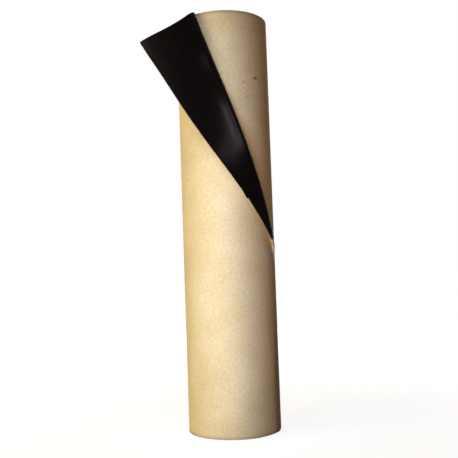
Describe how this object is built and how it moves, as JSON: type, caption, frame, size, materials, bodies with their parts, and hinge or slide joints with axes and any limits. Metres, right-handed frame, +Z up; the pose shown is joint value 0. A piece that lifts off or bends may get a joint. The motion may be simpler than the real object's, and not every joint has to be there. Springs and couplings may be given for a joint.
{
  "type": "roll of roofing felt",
  "caption": "Upright coreless roll of kraft-faced bituminous roofing felt, with the top corner of its free end turned back to show the black side.",
  "frame": {"origin": "on the roll's axis at its lower end, which is the lower mouth of the bore", "axes": "+Z up the roll's axis, +X to the viewer's right, -Y towards the viewer of the picture"},
  "size_m": [0.2932, 0.3269, 1.0002],
  "materials": {
    "kraft_faced_felt": "kraft paper outside, black bitumen inside, matt"
  },
  "bodies": {
    "root": {"felt_roll": "kraft_faced_felt"}
  },
  "joints": []
}
